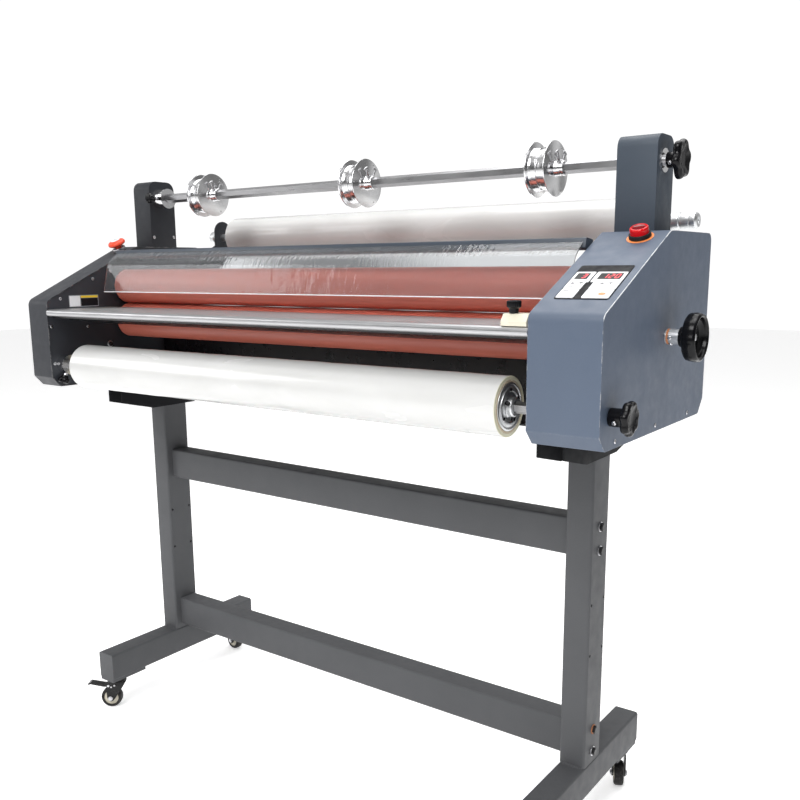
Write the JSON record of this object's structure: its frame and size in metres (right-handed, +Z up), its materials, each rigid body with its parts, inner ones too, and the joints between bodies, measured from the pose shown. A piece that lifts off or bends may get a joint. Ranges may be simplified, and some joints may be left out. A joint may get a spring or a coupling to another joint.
{
  "type": "roll laminator",
  "caption": "Wide-format roll laminator on a castor stand, with red silicone rollers, a feed table, film supply shafts and a lifting clear shield.",
  "frame": {"origin": "on the floor, under the middle of the whole machine's bounding box", "axes": "+X along the rollers to the operator's right, where the control panel is; +Y from the feed side to the back; +Z up"},
  "size_m": [1.4214, 0.583, 1.2645],
  "materials": {
    "stand_paint": "semi-gloss dark grey powder coat",
    "right_cover_paint": "fine-textured slate blue powder coat",
    "left_cover_paint": "fine-textured slate grey powder coat",
    "plate_paint": "fine-textured dark grey powder coat",
    "black_paint": "black paint",
    "table_aluminium": "ribbed, satin",
    "bar_anodised": "blue-grey anodised",
    "acrylic": "clear",
    "silicone": "brick red silicone, satin",
    "gear_steel": "machined",
    "bearing_steel": "machined",
    "screw_zinc": "zinc plated",
    "shaft_steel": "polished",
    "chuck_aluminium": "turned",
    "collar_plastic": "satin",
    "film": "glossy white film",
    "knob_black": "glossy black",
    "guide_plastic": "ivory",
    "button_red": "glossy red",
    "panel_label": "satin black overlay",
    "motor_paint": "grey",
    "inlet_plastic": "black",
    "caster_black": "black",
    "caster_tyre": "dark rubber"
  },
  "bodies": {
    "frame": {"left_foot": "stand_paint", "right_foot": "stand_paint", "left_post": "stand_paint", "right_post": "stand_paint", "saddles": "stand_paint", "crossbars": "stand_paint", "stand_bolts": "screw_zinc", "left_cover": "left_cover_paint", "right_cover": "right_cover_paint", "left_side_plate": "plate_paint", "right_side_plate": "plate_paint", "left_tower": "plate_paint", "right_tower": "right_cover_paint", "cross_plates": "black_paint", "feed_table": "table_aluminium", "roller_bearings": "bearing_steel", "drive_motor": "motor_paint", "shaft_bearings": "bearing_steel", "rear_brackets": "plate_paint", "button_collars": "collar_plastic", "control_panel": "panel_label", "cover_screws": "screw_zinc", "power_inlet": "inlet_plastic"},
    "lower_roller": {"lower_roller": "silicone", "lower_gear": "gear_steel"},
    "carriage": {"roller_blocks": "gear_steel"},
    "upper_roller": {"upper_roller": "silicone", "upper_gear": "gear_steel"},
    "lift_shaft": {"lift_shaft": "gear_steel"},
    "handwheel": {"pressure_shaft": "shaft_steel", "handwheel": "knob_black"},
    "edge_guide": {"edge_guide": "guide_plastic"},
    "guide_knob": {"guide_knob": "knob_black"},
    "shield": {"shield_bar": "bar_anodised", "shield": "acrylic"},
    "front_supply": {"front_shaft": "shaft_steel", "front_chucks": "chuck_aluminium", "front_film": "film"},
    "front_knob": {"front_knob": "knob_black"},
    "rear_supply": {"rear_shaft": "shaft_steel", "rear_film": "film"},
    "top_supply": {"top_shaft": "shaft_steel"},
    "top_chuck_left": {"top_chuck_left": "chuck_aluminium"},
    "top_chuck_middle": {"top_chuck_middle": "chuck_aluminium"},
    "top_chuck_right": {"top_chuck_right": "chuck_aluminium"},
    "top_knob": {"top_knob": "knob_black"},
    "top_lock": {"top_lock": "knob_black"},
    "front_lock": {"front_lock": "knob_black"},
    "left_stop_button": {"left_stop_button": "button_red"},
    "right_stop_button": {"right_stop_button": "button_red"},
    "front_left_swivel": {"front_left_fork": "caster_black"},
    "front_left_wheel": {"front_left_wheel": "caster_tyre"},
    "front_right_swivel": {"front_right_fork": "caster_black"},
    "front_right_wheel": {"front_right_wheel": "caster_tyre"},
    "rear_left_swivel": {"rear_left_fork": "caster_black"},
    "rear_left_wheel": {"rear_left_wheel": "caster_tyre"},
    "rear_right_swivel": {"rear_right_fork": "caster_black"},
    "rear_right_wheel": {"rear_right_wheel": "caster_tyre"},
    "left_brake": {"left_brake": "caster_black"},
    "right_brake": {"right_brake": "caster_black"}
  },
  "joints": [
    {"name": "lower_roller_spin", "type": "hinge", "parent": "frame", "child": "lower_roller", "pos_m": [-0.04925, -0.0665, 0.934], "axis": [1, 0, 0], "continuous": true},
    {"name": "roller_lift", "type": "slide", "parent": "frame", "child": "carriage", "axis": [0, 0, 1], "range_m": [0, 0.01]},
    {"name": "upper_roller_spin", "type": "hinge", "parent": "carriage", "child": "upper_roller", "pos_m": [-0.04925, -0.0665, 1.012], "axis": [1, 0, 0], "continuous": true},
    {"name": "handwheel_turn", "type": "hinge", "parent": "frame", "child": "handwheel", "pos_m": [0.68075, -0.0325, 0.941], "axis": [1, 0, 0], "range_deg": [0, 405.5]},
    {"name": "lift_shaft_turn", "type": "hinge", "parent": "frame", "child": "lift_shaft", "pos_m": [-0.04925, 0.0195, 0.941], "axis": [1, 0, 0], "range_deg": [-180.5, 0]},
    {"name": "edge_guide_slide", "type": "slide", "parent": "frame", "child": "edge_guide", "axis": [1, 0, 0], "range_m": [-1.09, 0]},
    {"name": "guide_knob_turn", "type": "hinge", "parent": "edge_guide", "child": "guide_knob", "pos_m": [0.51075, -0.2665, 0.99], "axis": [0, 0, 1], "range_deg": [-180, 180]},
    {"name": "shield_lift", "type": "hinge", "parent": "frame", "child": "shield", "pos_m": [-0.04925, -0.0685, 1.08], "axis": [-1, 0, 0], "range_deg": [0, 100]},
    {"name": "front_supply_spin", "type": "hinge", "parent": "frame", "child": "front_supply", "pos_m": [-0.04925, -0.2445, 0.843], "axis": [1, 0, 0], "continuous": true},
    {"name": "front_knob_turn", "type": "hinge", "parent": "front_supply", "child": "front_knob", "pos_m": [0.68075, -0.2445, 0.843], "axis": [1, 0, 0], "range_deg": [-180, 180]},
    {"name": "rear_supply_spin", "type": "hinge", "parent": "frame", "child": "rear_supply", "pos_m": [-0.04925, 0.2445, 1.13], "axis": [1, 0, 0], "continuous": true},
    {"name": "top_supply_spin", "type": "hinge", "parent": "frame", "child": "top_supply", "pos_m": [-0.04925, 0.0455, 1.217], "axis": [1, 0, 0], "continuous": true},
    {"name": "top_chuck_left_slide", "type": "slide", "parent": "top_supply", "child": "top_chuck_left", "axis": [1, 0, 0], "range_m": [-0.1, 0.18]},
    {"name": "top_chuck_middle_slide", "type": "slide", "parent": "top_supply", "child": "top_chuck_middle", "axis": [1, 0, 0], "range_m": [-0.19, 0.19]},
    {"name": "top_chuck_right_slide", "type": "slide", "parent": "top_supply", "child": "top_chuck_right", "axis": [1, 0, 0], "range_m": [-0.15, 0.07]},
    {"name": "top_knob_turn", "type": "hinge", "parent": "top_supply", "child": "top_knob", "pos_m": [0.64075, 0.0455, 1.217], "axis": [1, 0, 0], "range_deg": [-180, 180]},
    {"name": "top_lock_turn", "type": "hinge", "parent": "frame", "child": "top_lock", "pos_m": [-0.62425, 0.0075, 1.217], "axis": [0, 1, 0], "range_deg": [-180, 180]},
    {"name": "front_lock_turn", "type": "hinge", "parent": "frame", "child": "front_lock", "pos_m": [-0.62825, -0.2445, 0.843], "axis": [0, -0.4067, -0.9135], "range_deg": [-180, 180]},
    {"name": "left_stop_press", "type": "slide", "parent": "frame", "child": "left_stop_button", "axis": [0, 0.437, -0.8995], "range_m": [0, 0.004], "stiffness_N_per_m": 1500, "springref_m": -0.001},
    {"name": "right_stop_press", "type": "slide", "parent": "frame", "child": "right_stop_button", "axis": [0, 0.437, -0.8995], "range_m": [0, 0.004], "stiffness_N_per_m": 1500, "springref_m": -0.001},
    {"name": "front_left_swivel_turn", "type": "hinge", "parent": "frame", "child": "front_left_swivel", "pos_m": [-0.61025, -0.1905, 0.075], "axis": [0, 0, 1], "continuous": true},
    {"name": "front_left_wheel_spin", "type": "hinge", "parent": "front_left_swivel", "child": "front_left_wheel", "pos_m": [-0.62238, -0.19932, 0.025], "axis": [0.5878, -0.809, 0], "continuous": true},
    {"name": "front_right_swivel_turn", "type": "hinge", "parent": "frame", "child": "front_right_swivel", "pos_m": [0.51175, -0.1905, 0.075], "axis": [0, 0, 1], "continuous": true},
    {"name": "front_right_wheel_spin", "type": "hinge", "parent": "front_right_swivel", "child": "front_right_wheel", "pos_m": [0.50425, -0.20349, 0.025], "axis": [0.866, -0.5, 0], "continuous": true},
    {"name": "rear_left_swivel_turn", "type": "hinge", "parent": "frame", "child": "rear_left_swivel", "pos_m": [-0.61025, 0.2095, 0.075], "axis": [0, 0, 1], "continuous": true},
    {"name": "rear_left_wheel_spin", "type": "hinge", "parent": "rear_left_swivel", "child": "rear_left_wheel", "pos_m": [-0.6251, 0.21159, 0.025], "axis": [-0.1392, -0.9903, 0], "continuous": true},
    {"name": "rear_right_swivel_turn", "type": "hinge", "parent": "frame", "child": "rear_right_swivel", "pos_m": [0.51175, 0.2095, 0.075], "axis": [0, 0, 1], "continuous": true},
    {"name": "rear_right_wheel_spin", "type": "hinge", "parent": "rear_right_swivel", "child": "rear_right_wheel", "pos_m": [0.51833, 0.19602, 0.025], "axis": [0.8988, 0.4384, 0], "continuous": true},
    {"name": "left_brake_press", "type": "hinge", "parent": "front_left_swivel", "child": "left_brake", "pos_m": [-0.62562, -0.20167, 0.057], "axis": [0.5878, -0.809, 0], "range_deg": [0, 10]},
    {"name": "right_brake_press", "type": "hinge", "parent": "front_right_swivel", "child": "right_brake", "pos_m": [0.50225, -0.20695, 0.057], "axis": [0.866, -0.5, 0], "range_deg": [0, 10]}
  ],
  "couplings": [
    {"joint": "upper_roller_spin", "follows": "lower_roller_spin", "ratio": -1},
    {"joint": "handwheel_turn", "follows": "roller_lift", "rad_per_m": 706.86},
    {"joint": "lift_shaft_turn", "follows": "roller_lift", "rad_per_m": -314.16}
  ]
}
